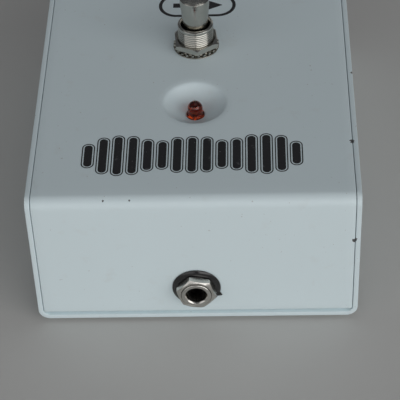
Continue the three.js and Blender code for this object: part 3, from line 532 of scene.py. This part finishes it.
def makeCover():
    foot, edge = coverLow[2], case["edge"]
    fold = foldLine([(panelY + case["flange"], foot), (panelY, foot, case["footBend"]),
                     (panelY, topZ, case["topBend"]), (farY, topZ, case["topBend"]),
                     (farY, foot, case["footBend"]), (farY - case["flange"], foot)])
    points, _, lengths, bends = fold
    total, wide = lengths[-1], coverHigh[0]
    onTop = bends[3] + (lampY - (panelY + case["topBend"]))
    onSwitch = onTop + switchY - lampY
    onPanel = bends[1] + socketZ - (foot + case["footBend"])
    flangeScrew = case["flange"] - case["screwY"]
    dishRings = np.concatenate([[dish["hole"] + edge], np.linspace(dish["hole"] + 0.6, *dish["bowl"]),
                                np.linspace(*dish["rim"])])
    plainRings = np.array([0.0, 0.25, 0.7, 1.4])
    windows = [((0, onTop), dish["window"], dishRings, dishRings),
               ((0, onSwitch), holes["switchWindow"], *[holes["switch"] + edge + plainRings] * 2),
               ((0, onPanel), holes["socketWindow"], *[holes["socket"] + edge + plainRings] * 2)]
    for x, y in screwPlaces:
        length = flangeScrew if y < 0 else total - flangeScrew
        windows.append(((x, length), holes["screwWindow"], *[holes["screw"] + edge + plainRings * 0.8] * 2))
    xKnots, sKnots = [-wide + edge, wide - edge], [edge, total - edge, *bends]
    for (u, v), reach, *_ in windows:
        xKnots += [u - reach, u + reach]
        sKnots += [v - reach, v + reach]
    fineKnots = [side * reach for _, reach, *_ in windows[:3] for side in (-1, 1)]
    us = gridLine(spread(xKnots, case["coarse"]), spread(fineKnots, case["fine"]))
    fineParts = [spread([v - reach, v + reach], case["fine"]) for (_, v), reach, *_ in windows[:3]]
    vs = gridLine(spread(sKnots, case["coarse"]), *fineParts, *acrossBends(bends))

    def surface(flat, depth):
        # the end panels' edges draw in near their foot, along the round inside of the base's bends
        y, z = onFold(fold, flat[:, 1], depth, 1)
        low = case["baseBend"] - case["sheet"] - case["seam"]
        outerZ = np.interp(flat[:, 1], lengths, points[:, 1])
        under = np.clip(low - (outerZ - foot), 0, low)
        narrow = low - np.sqrt(low ** 2 - under ** 2)
        x = flat[:, 0]
        reach = case["cornerReach"]
        x = x - np.sign(x) * narrow * np.clip((np.abs(x) - wide + reach) / reach, 0, 1)
        return np.stack([x, y, z], 1)

    def dip(flat):
        return dishDip(np.hypot(flat[:, 0], flat[:, 1] - onTop))

    return foldedSheet(us, vs, windows, surface, dip, case["sheet"], edge)


def makeBase():
    edge, bend, corner, window = case["edge"], case["topBend"], case["cornerReach"], holes["sinkWindow"]
    fold = foldLine([(-half, topZ), (-half, baseLow[2], case["baseBend"]),
                     (half, baseLow[2], case["baseBend"]), (half, topZ)])
    _, _, lengths, bends = fold
    total, floorStart = lengths[-1], bends[1] - (-half + case["baseBend"])
    wide, narrow = holes["sink"], holes["screw"]
    windows = []
    for x, y in screwPlaces:
        steps = edge + np.array([0.0, 0.25, 0.7])
        windows.append(((y, floorStart + x), window, wide + steps, narrow + steps))
    yKnots = [panelY + edge, farY - edge, panelY + corner, farY - corner]
    sKnots = [edge, total - edge, *bends]
    for (u, v), reach, *_ in windows:
        yKnots += [u - reach, u + reach]
        sKnots += [v - reach, v + reach]
    drops = bend * (1 - np.cos(np.linspace(0, pi / 2, 9)[1:]))
    holeLines = [[np.linspace(w[0][k] - window, w[0][k] + window, 9) for w in windows] for k in (0, 1)]
    us = gridLine(spread(yKnots, case["coarse"]), *holeLines[0])
    vs = gridLine(spread(sKnots, case["coarse"]), drops + edge, total - edge - drops, *acrossBends(bends),
                  *holeLines[1])

    def surface(flat, depth):
        # the side walls' upper corners are rounded like the cover's top edges that they meet
        x, z = onFold(fold, flat[:, 1], depth, -1)
        down = np.clip(np.minimum(flat[:, 1], total - flat[:, 1]), 0, bend)
        cut = bend - np.sqrt(bend ** 2 - (bend - down) ** 2)
        y = flat[:, 0]
        near, far = ((corner - gap) / corner for gap in (y - panelY, farY - y))
        y = y + cut * np.clip(near, 0, 1) - cut * np.clip(far, 0, 1)
        return np.stack([x, y, z], 1)

    return foldedSheet(us, vs, windows, surface, lambda flat: np.zeros(len(flat)), case["sheet"], edge)


cover = makePiece("topCover", *makeCover(), "housing", "white_paint", whitePaint, ["top_cover"], 32)
base = makePiece("baseTray", *makeBase(), "housing", "white_paint", whitePaint, ["base_tray"], 32)
print("case folded:", len(cover.data.polygons), "+", len(base.data.polygons), "faces")

# Screws and pads under the case

screw = {"head": 2.8, "shank": 1.5, "recessLength": 3.2, "recessWidth": 0.75, "recessDepth": 1.0, "pitch": 0.5,
         "threadDepth": 0.16, "threadFrom": 1.45, "tip": 0.5, "tipCut": 0.45}


def makeScrew(length):
    # head: polar grid sunk along a cross, the deeper of two soft slots; shank: a helical thread
    columns = 96
    angle = fullTurn(columns)
    across = np.linspace(0, screw["head"] - 0.12, 26)[:, None]
    x, y = np.abs(across * np.cos(angle)), np.abs(across * np.sin(angle))
    slots = [np.clip((screw["recessWidth"] / 2 + 0.06 - a) / 0.12, 0, 1) *
             np.clip((screw["recessLength"] / 2 + 0.1 - b) / 0.3, 0, 1) for a, b in ((x, y), (y, x))]
    sunk = screw["recessDepth"] * np.maximum(*slots)
    height = np.linspace(screw["threadFrom"], length - screw["tip"], 60)[:, None]
    shank = screw["shank"] - threadDepth(height, angle, screw["pitch"], screw["threadDepth"])
    flat = np.ones(columns)
    end = np.array([[screw["shank"] - screw["tipCut"]], [0]])
    rows = [across * flat, np.array([[screw["head"]]]) * flat, shank, end * flat]
    heights = [sunk, np.array([[0.1]]) * flat, height * flat, np.array([[length], [length]]) * flat]
    return spun(np.vstack(rows), np.vstack(heights), angle, False)


for number in range(1, 5):
    name = f"cover_screw_{number}"
    low, high = boxOf(name)
    points, faces = makeScrew(high[2] - low[2])
    turn = 0.5 + 1.3 * number
    c, s = np.cos(turn), np.sin(turn)
    points = points @ np.array([[c, s, 0], [-s, c, 0], [0, 0, 1]])
    middle = (low + high) / 2
    makePiece(f"coverScrew{number}", points, faces, "housing", "zinc_steel", zincPlate, [name], 35,
              (middle[0], middle[1], low[2]))
    name = f"foot_pad_{number}"
    low, high = boxOf(name)
    radius, thick = (high[0] - low[0]) / 2, high[2] - low[2]
    pad = lathe([(0, 0.02), (radius * 0.55, 0), (radius, 0.0, 0.45), (radius - 0.05, thick, 0.12),
                 (0, thick)], 72)
    makePiece(f"footPad{number}", *pad, "housing", "pad_rubber", padRubber, [name], 35,
              ((low[0] + high[0]) / 2, (low[1] + high[1]) / 2, low[2]))
print("screws and pads made")

# Switch: washers, nut, threaded bush and button

upperNut = {"across": 14.0, "bore": 6.07, "boreCut": 0.4, "face": 7.3, "under": 8.0, "edge": 0.07,
            "cornerCut": 0.06}
lowerNut = {**upperNut, "face": 6.78, "under": 6.78}
teeth = {"count": 24, "depth": 0.85, "sheet": 0.5, "twist": 0.27, "inner": 6.2}
bush = {"pitch": 0.75, "depth": 0.16, "threadEnd": 0.75, "fade": 0.5, "bore": 4.8, "floor": -3.0, "stem": 2.6,
        "spigot": 3.7, "shoulder": -6.0, "chamfer": 0.5}
button = {"nose": 1.2, "stem": 2.3, "shoulder": 6.0, "neck": 4.1, "neckEnd": 9.6, "flare": 4.92, "flareDrop": 2.4,
          "top": 4.95, "edge": 0.55, "face": 4.4, "faceInner": 3.6, "sink": 0.12}
switchWasherBore = 6.25


def hexAngles(turn):
    # columns that crowd towards the six corners
    t = np.linspace(-1, 1, 41)[:-1]
    flat = np.sign(t) * (1 - (1 - np.abs(t)) ** 1.7) * pi / 6
    return (turn + np.arange(6)[:, None] * pi / 3 + flat).ravel()


def makeNut(size, height, turn):
    # outline: flat distance / cos(angle from the flat's middle), cut by a circle at the corners
    # each face is cut back by a cone: drop = (radius - the face's radius) tan 30 degrees
    angle = hexAngles(turn)
    middle = (angle - turn + pi / 6) % (pi / 3) - pi / 6
    out = np.minimum(size["across"] / 2 / np.cos(middle), size["across"] / np.sqrt(3) - size["cornerCut"])
    e, bore, cut = size["edge"], size["bore"], size["boreCut"]
    rise, drop = (np.maximum(out - size[k], 0) * np.tan(pi / 6) for k in ("under", "face"))
    foot, face = (np.minimum(size[k], out - 3 * e) for k in ("under", "face"))
    rows = [(bore + cut, 0), (foot - e, 0), (foot + e, e * 0.4), (out - e, rise + e * 0.4), (out, rise + e),
            (out, height - drop - e), (out - e, height - drop - e * 0.4), (face + e, height - e * 0.4),
            (face - e, height), (bore + cut, height), (bore, height - cut), (bore, cut)]
    return ringOf(rows, angle)


def makeLockWasher(thick):
    # teeth: gaps where a raised cosine is high; each tooth leans across its width by twist (2 phase - 1)
    angle = fullTurn(teeth["count"] * 20)
    phase = (angle * teeth["count"] / (2 * pi)) % 1
    gap = np.clip(4 * (0.5 + 0.5 * np.cos(2 * pi * phase)) - 1.5, 0, 1)
    rim = lockRadius - teeth["depth"] * gap
    lean = teeth["twist"] * (2 * phase - 1) * (1 - gap)
    inner, e, root = teeth["inner"], 0.06, lockRadius - teeth["depth"] - 0.2
    low, high = (thick - teeth["sheet"]) / 2, (thick + teeth["sheet"]) / 2
    rows = [(inner, low + e), (inner + e, low), (root, low), (rim - e, lean + low), (rim, lean + low + e),
            (rim, lean + high - e), (rim - e, lean + high), (root, high), (inner + e, high),
            (inner, high - e)]
    return ringOf(rows, angle)


def makeBush():
    # a closed profile whose outside is cut by a helical thread that fades towards the top edge
    low, top = bushLow[2] - topZ, bushHigh[2] - topZ
    radius = (bushHigh[0] - bushLow[0]) / 2
    bore, stem, floor, shoulder, c = (bush[k] for k in ("bore", "stem", "floor", "shoulder", "chamfer"))
    angle = fullTurn(144)
    flat = np.ones(144)
    threadTop = top - bush["threadEnd"]
    height = np.linspace(shoulder + 0.3, threadTop, 150)[:, None]
    fade = np.clip((threadTop - height) / bush["fade"], 0, 1)
    outside = radius - fade * threadDepth(height, angle, bush["pitch"], bush["depth"])
    below = rounded([(stem, low), (bush["spigot"], low, 0.15), (bush["spigot"], shoulder),
                     (radius - 0.25, shoulder, 0.05)])
    above = rounded([(radius, top - c - 0.12), (radius, top - 0.42, 0.2), (radius - 0.45, top, 0.12),
                     (bore + 0.42, top, 0.12), (bore, top - 0.5, 0.15), (bore, floor, 0.2), (stem, floor)])
    radii = np.vstack([below[:, :1] * flat, outside, above[:, :1] * flat])
    heights = np.vstack([below[:, 1:] * flat, height * flat, above[:, 1:] * flat])
    return spun(radii, heights, angle, True)


def makeButton(low, top):
    # a turned stem with half a sphere at its end, a shoulder, and a flared head whose face is slightly sunk
    nose, stem, shoulder, neck, sink = (button[k] for k in ("nose", "stem", "shoulder", "neck", "sink"))
    ball = [(nose * np.sin(a), low + nose - nose * np.cos(a)) for a in np.linspace(0, pi / 2, 10)]
    return lathe([*ball, (stem, low + 2.2), (stem, shoulder, 0.3), (neck, shoulder, 0.35),
                  (neck, button["neckEnd"], 6.0), (button["flare"], top - button["flareDrop"], 6.0),
                  (button["top"], top - button["edge"], 0.12), (button["face"], top, 0.16),
                  (button["faceInner"], top - sink / 2, 2.0), (0, top - sink)], 120, 6)


washerLow, washerHigh = boxOf("switch_flat_washer")
washerRadius, thick = (washerHigh[0] - washerLow[0]) / 2, washerHigh[2] - washerLow[2]
flatWasher = lathe([(switchWasherBore, 0, 0.08), (washerRadius, 0, 0.16), (washerRadius, thick, 0.12),
                    (switchWasherBore, thick, 0.08)], 120, 3, True)
makePiece("switchFlatWasher", *flatWasher, "housing", "nickel", switchNickel, ["switch_flat_washer"], 50,
          (0, switchY, washerLow[2]))
lockLow, lockHigh = boxOf("switch_lock_washer")
lockRadius = (lockHigh[1] - lockLow[1]) / 2
makePiece("switchLockWasher", *makeLockWasher(lockHigh[2] - lockLow[2]), "housing", "nickel", switchNickel,
          ["switch_lock_washer"], 28, (0, switchY, lockLow[2]))
for node, name, shape, turn in (("switch_nut", "switchNut", upperNut, 5),
                                ("switch_lower_nut", "switchLowerNut", lowerNut, 0)):
    low, high = boxOf(node)
    makePiece(name, *makeNut(shape, high[2] - low[2], radians(turn)), "housing", "nickel", switchNickel,
              [node], 24, (0, switchY, low[2]))
makePiece("switchBush", *makeBush(), "housing", "nickel", switchNickel, ["switch_bush"], 40,
          (0, switchY, topZ))
buttonLow, buttonHigh = boxOf("button")
makePiece("footButton", *makeButton(buttonLow[2] - topZ, buttonHigh[2] - topZ), "button", "nickel",
          switchNickel, ["button"], 40, (0, switchY, topZ))
print("switch made")

# Lamp

lamp = {"radius": 2.45, "flange": 2.9, "flangeHeight": 1.8, "post": 0.35, "postTop": 1.6, "cup": 0.95,
        "cupTop": 2.5, "anvil": 0.28, "anvilTop": 2.6, "cupX": -0.35, "anvilX": 1.25}


def makeLens():
    # a flanged cylinder that ends in half a sphere, with soft edges
    foot, top, r = lampLow[2] - topZ, lampHigh[2] - topZ, lamp["radius"]
    ledge = foot + lamp["flangeHeight"]
    angle = np.linspace(0, pi / 2, 22)
    dome = [(r * np.cos(a), top - r + r * np.sin(a)) for a in angle]
    line = np.vstack([rounded([(0, foot), (lamp["flange"], foot, 0.25), (lamp["flange"], ledge, 0.22),
                               (r + 0.02, ledge, 0.2), (r, ledge + 0.5)]), np.array(dome)])
    columns = 96
    flat = np.ones(columns)
    return spun(line[:, :1] * flat, line[:, 1:] * flat, fullTurn(columns), False)


def makeCup():
    # the reflector: a small post that opens into a cup
    foot, post, cup = lampLow[2] - topZ, lamp["post"], lamp["cup"]
    return lathe([(0, foot + 0.3), (post, foot + 0.3, 0.1), (post, foot + lamp["postTop"], 0.2),
                  (cup, foot + lamp["cupTop"], 0.1), (0.85, foot + 2.6), (0.45, foot + 2.2, 0.1),
                  (0, foot + 2.15)], 48)


def makeAnvil():
    # the other lead: a flat blade whose width grows upwards, as a lofted rounded square
    foot = lampLow[2] - topZ
    angle = fullTurn(32)
    square = np.maximum(np.abs(np.cos(angle)), np.abs(np.sin(angle)))
    top, thin = lamp["anvilTop"], lamp["anvil"]
    height = np.array([0.3, 0.3, 1.2, 1.7, 2.5, top, top])[:, None] + foot
    size = np.array([0, thin, thin, 0.55, 0.5, 0.42, 0])[:, None]
    points, faces = spun(size / square, height * np.ones(32), angle, False)
    return points * (1, 0.6, 1), faces


makePiece("lampLens", *makeLens(), "housing", "amber_lens", amberResin, ["lamp"], 60, (0, lampY, topZ))
makePiece("lampCup", *makeCup(), "housing", "zinc_steel", zincPlate, (), 30, (lamp["cupX"], lampY, topZ))
makePiece("lampAnvil", *makeAnvil(), "housing", "zinc_steel", zincPlate, (), 30,
          (lamp["anvilX"], lampY, topZ))
print("lamp made")

# Socket: washer with its tab, nut and bush

socket = {"bore": 3.25, "washerBore": 5.05, "washerEdge": 0.1, "washerRound": 0.26, "washerFall": 0.5,
          "washerBevel": 1.45, "tabAngle": -0.4, "tabHalf": 0.13, "tabOut": 1.2, "rimCut": 0.14,
          "pitch": 0.8, "threadDepth": 0.16, "threadEnd": 0.55, "fade": 0.4}
socketNut = {"across": 11.4, "bore": 4.87, "boreCut": 0.1, "face": 5.4, "under": 5.6, "edge": 0.07,
             "cornerCut": 0.08}


def makeTabWasher(inner, outer, thick):
    # the rim's radius grows into a pointed tab: a triangle of the angle from the tab's middle
    angle = fullTurn(240)
    away = np.abs((angle - socket["tabAngle"] + pi) % (2 * pi) - pi)
    rim = outer + socket["tabOut"] * np.clip(1 - away / socket["tabHalf"], 0, 1)
    e, r, slope = socket["washerEdge"], socket["washerRound"], socket["washerBevel"]
    ledge = thick - socket["washerFall"]
    rows = [(inner + e, 0), (rim - e, 0), (rim, e)]
    rows += [(rim - r + r * np.cos(a), ledge - r + r * np.sin(a)) for a in np.linspace(0, pi / 3, 4)]
    rows += [(rim - slope + 0.2, thick - 0.06), (rim - slope - e, thick), (inner + e, thick),
             (inner, thick - e), (inner, e)]
    return ringOf(rows, angle)


def makeSocketBush(inside, out, radius):
    # a closed profile whose outside is cut by a helical thread that fades towards the open end
    bore, cut, threadTop = socket["bore"], socket["rimCut"], out - socket["threadEnd"]
    angle = fullTurn(120)
    flat = np.ones(120)
    height = np.linspace(inside + 0.3, threadTop, 90)[:, None]
    fade = np.clip((threadTop - height) / socket["fade"], 0, 1)
    wall = radius - fade * threadDepth(height, angle, socket["pitch"], socket["threadDepth"])
    rim = rounded([(radius, out - 0.5), (radius, out - cut, 0.06), (radius - cut, out, 0.06),
                   (bore + 0.4, out, 0.15), (bore, out - 0.5, 0.3), (bore, inside, 0.1),
                   (radius - 0.3, inside)])
    radii = np.vstack([wall, rim[:, :1] * flat])
    heights = np.vstack([height * flat, rim[:, 1:] * flat])
    return spun(radii, heights, angle, True)


tabLow, tabHigh = boxOf("socket_washer")
points, faces = makeTabWasher(socket["washerBore"], tabHigh[2] - socketZ, tabHigh[1] - tabLow[1])
makePiece("socketWasher", facingPanel(points), faces, "housing", "black_plastic", blackGloss,
          ["socket_washer"], 50, (0, tabHigh[1] - panelY, 0))
nutLow, nutHigh = boxOf("socket_nut")
points, faces = makeNut(socketNut, nutHigh[1] - nutLow[1], radians(-12 + 30))
makePiece("socketNut", facingPanel(points), faces, "housing", "nickel", socketNickel, ["socket_nut"], 24,
          (0, nutHigh[1] - panelY, 0))
radius = (socketHigh[0] - socketLow[0]) / 2
points, faces = makeSocketBush(panelY - socketHigh[1], panelY - socketLow[1], radius)
makePiece("socketBush", facingPanel(points), faces, "housing", "nickel", socketNickel, ["socket_bush"], 40)
print("socket made")

# Printed ornaments

bars = {"count": 15, "pitch": 4.7, "wide": 2.6, "line": 0.36, "gap": 0.4, "near": 11.4, "tall": 20.0,
        "short": 11.5, "shift": -0.5}
badge = {"near": 93.2, "wide": 26.8, "deep": 13.0, "line": 1.15, "arrowTail": 8.4, "arrowNeck": 1.6,
         "arrowTip": 8.8, "shaft": 1.2, "barb": 3.8}
ink = {"lift": 0.012, "thick": 0.03}


def stadium(wide, tall, steps=10):
    radius = min(wide, tall) / 2 * 0.999
    w, t = wide / 2, tall / 2
    return rounded([(-w, -t, radius), (w, -t, radius), (w, t, radius), (-w, t, radius)], steps, True)


def inkPlate(outline, x, y):
    # a flat patch between two lifted copies of an outline
    n = len(outline)
    low = np.column_stack([outline + (x, y), np.full(n, topZ + ink["lift"])])
    high = low + (0, 0, ink["thick"])
    return [low, high], [*gridFaces(2, n).tolist(), list(range(n))[::-1], list(range(n, 2 * n))]


def inkLoop(outline, inner, x, y):
    # a printed line between two outlines with as many points each
    rows = [outline, outline, inner, inner]
    lifts = [0, ink["thick"], ink["thick"], 0]
    points = [np.column_stack([o + (x, y), np.full(len(o), topZ + ink["lift"] + z)])
              for o, z in zip(rows, lifts)]
    return points, gridFaces(4, len(outline), True).tolist()


def inkPiece(name, patches):
    points, faces, start = [], [], 0
    for rows, quads in patches:
        points += rows
        faces += [[start + i for i in face] for face in quads]
        start += sum(len(r) for r in rows)
    return makePiece(name, np.vstack(points), faces, "housing", "white_paint", blackInk, (), 60)


# Each bar's length follows a bent cosine of its place in the row
patches = []
for i in range(bars["count"]):
    t = 2 * i / (bars["count"] - 1) - 1
    level = abs(np.cos(1.5 * pi * t)) ** 0.7
    tall = bars["short"] + (bars["tall"] - bars["short"]) * level * (0.72 + 0.28 * abs(t))
    x = (i - (bars["count"] - 1) / 2) * bars["pitch"] + bars["shift"]
    y = panelY + bars["near"] + bars["tall"] / 2
    inside, outside = 2 * bars["gap"], 2 * (bars["gap"] + bars["line"])
    patches.append(inkPlate(stadium(bars["wide"], tall - outside), x, y))
    inner = stadium(bars["wide"] + inside, tall - 2 * bars["line"])
    patches.append(inkLoop(stadium(bars["wide"] + outside, tall), inner, x, y))
inkPiece("levelBars", patches)
outer = stadium(badge["wide"], badge["deep"], 16)
inner = stadium(badge["wide"] - 2 * badge["line"], badge["deep"] - 2 * badge["line"], 16)
middle = panelY + badge["near"] + badge["deep"] / 2
tail, neck, tip, shaft, barb = (badge[k] for k in ("arrowTail", "arrowNeck", "arrowTip", "shaft", "barb"))
arrow = np.array([(-tail, -shaft), (neck, -shaft), (neck, -barb), (tip, 0), (neck, barb), (neck, shaft),
                  (-tail, shaft)])
inkPiece("pressBadge", [inkLoop(outer, inner, 0, middle), inkPlate(arrow, 0, middle)])
print("ornaments printed")

# The frame's own pieces, which fill the case, get their finishes

kept = {"zinc_steel": zincPlate, "spring_steel": springSteel, "brass": brassStrip, "black_plastic": blackNylon,
        "white_plastic": whiteAcetal, "brown_laminate": brownBoard, "green_laminate": greenBoard,
        "resistor_coat": resistorCoat, "red_insulation": wireRed, "yellow_insulation": wireYellow,
        "black_insulation": wireBlack, "nickel": switchNickel, "white_paint": whitePaint, "amber_lens": amberResin,
        "pad_rubber": padRubber}
for part in frame["record"]["subparts"]:
    node = frame["nodes"].get(part["node"])
    if node:
        node.data.materials.clear()
        node.data.materials.append(kept[part["material_slot"]])

# Floor, light and camera

lights = {"key": (1.38, -1.78, 0.88, 3.2, 2.1, 35.0), "fill": (-1.38, -1.78, 0.88, 3.2, 2.1, 14.4),
          "top": (0.2, 0.3, 1.9, 1.4, 1.4, 1.5), "back": (0.3, 2.1, 0.45, 2.6, 0.7, 4.0),
          "air": (0.62, 0.66, 0.72, 1), "airPower": 0.12}
camera = {"place": (0.018716, -0.443415, 0.406184), "turn": (46.80619, 1.82996, 0.78314), "lens": 151.634}


def makeFloor():
    # a wide flat sheet under the pads
    line = np.linspace(-3, 3, 13)
    x, y = np.meshgrid(line, line, indexing="ij")
    index = np.arange(x.size).reshape(x.shape)
    faces = np.stack([index[:-1, :-1], index[1:, :-1], index[1:, 1:], index[:-1, 1:]], -1).reshape(-1, 4)
    mesh = bpy.data.meshes.new("floorSheet")
    mesh.from_pydata(np.column_stack([x.ravel(), y.ravel(), np.zeros(x.size)]).tolist(), [], faces.tolist())
    material, tree, shader = newFinish("floorPaper", Roughness=0.8)
    cloud = ranged(tree, noise(tree, 5, 4), 0.3, 0.7)
    tone = blended(tree, cloud, (0.56, 0.55, 0.53, 1), (0.60, 0.59, 0.57, 1))
    joined(tree, shader, Base_Color=tone, Normal=bumped(tree, noise(tree, 900, 4), 2e-5))
    mesh.materials.append(material)
    floor = bpy.data.objects.new("floorSheet", mesh)
    scene.collection.objects.link(floor)


def makeLight(name, x, y, z, wide, tall, power):
    # an oblong soft light that looks at the case
    data = bpy.data.lights.new(name, "AREA")
    data.shape = "RECTANGLE"
    data.size, data.size_y, data.energy = wide, tall, power
    light = bpy.data.objects.new(name, data)
    light.location = (x, y, z)
    light.rotation_euler = (-light.location).to_track_quat("-Z", "Y").to_euler()
    scene.collection.objects.link(light)


makeFloor()
for name in ("key", "fill", "top", "back"):
    makeLight(name, *lights[name])
world = bpy.data.worlds.new("air")
world.use_nodes = True
air = world.node_tree.nodes["Background"]
air.inputs["Color"].default_value = lights["air"]
air.inputs["Strength"].default_value = lights["airPower"]
scene.world = world
lensData = bpy.data.cameras.new("view")
lensData.lens, lensData.sensor_width = camera["lens"], 36
viewer = bpy.data.objects.new("view", lensData)
viewer.location = camera["place"]
viewer.rotation_euler = [radians(a) for a in camera["turn"]]
scene.collection.objects.link(viewer)
scene.camera = viewer
scene.view_settings.view_transform = "Standard"
print("floor, light and camera set")
